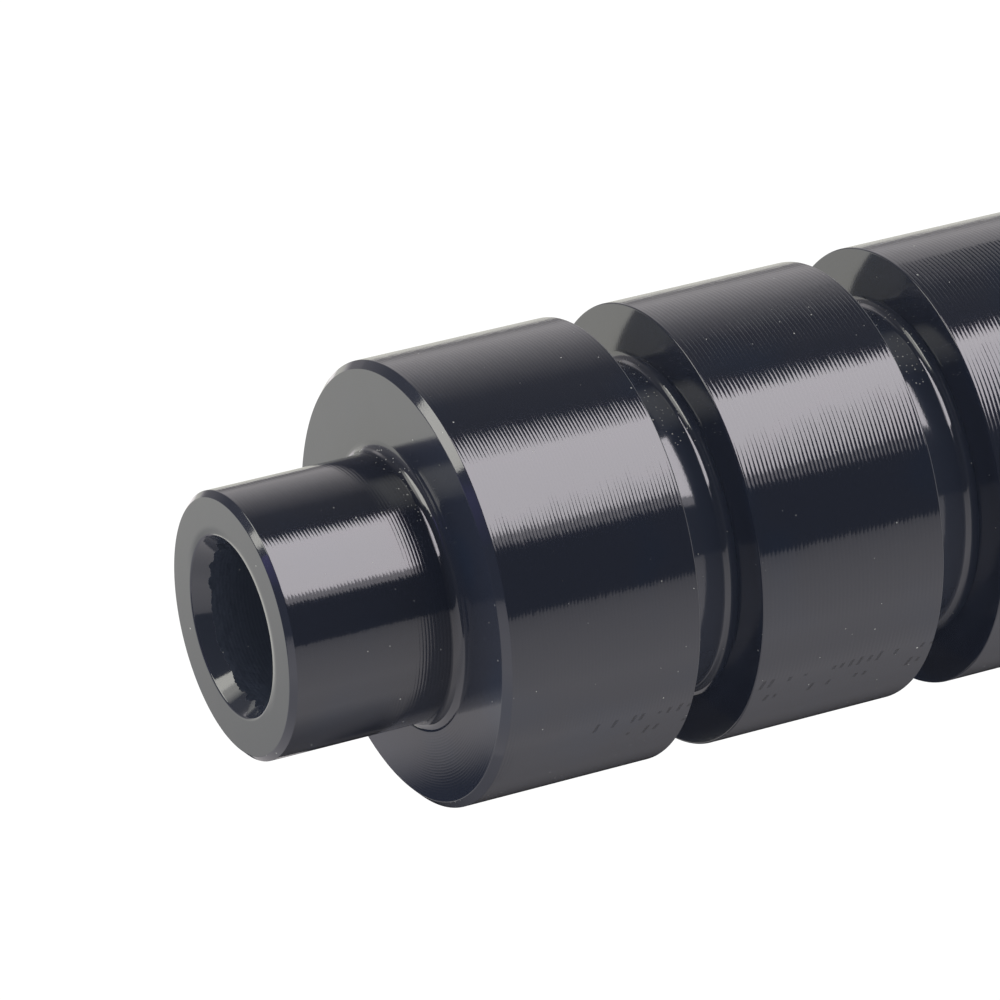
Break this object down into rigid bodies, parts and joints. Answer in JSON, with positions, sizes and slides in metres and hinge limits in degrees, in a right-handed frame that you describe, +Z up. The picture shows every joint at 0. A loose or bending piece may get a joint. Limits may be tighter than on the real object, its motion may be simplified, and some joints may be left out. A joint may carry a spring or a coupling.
{
  "type": "thru axle adapter",
  "caption": "Turned black anodised sleeve that lets a 15 mm thru axle hub sit in 9 mm quick-release dropouts, with grooved body, end spigots and a skewer bore.",
  "frame": {"origin": "centre of the lower end face, on the axis", "axes": "+Z up along the axis to the pictured end; the part stands on its other end face, and X and Y are free because the part is turned"},
  "size_m": [0.015, 0.015, 0.1122],
  "materials": {
    "black_anodising": "gloss black anodising over fine turning marks"
  },
  "bodies": {
    "root": {"axle_adapter": "black_anodising"}
  },
  "joints": []
}
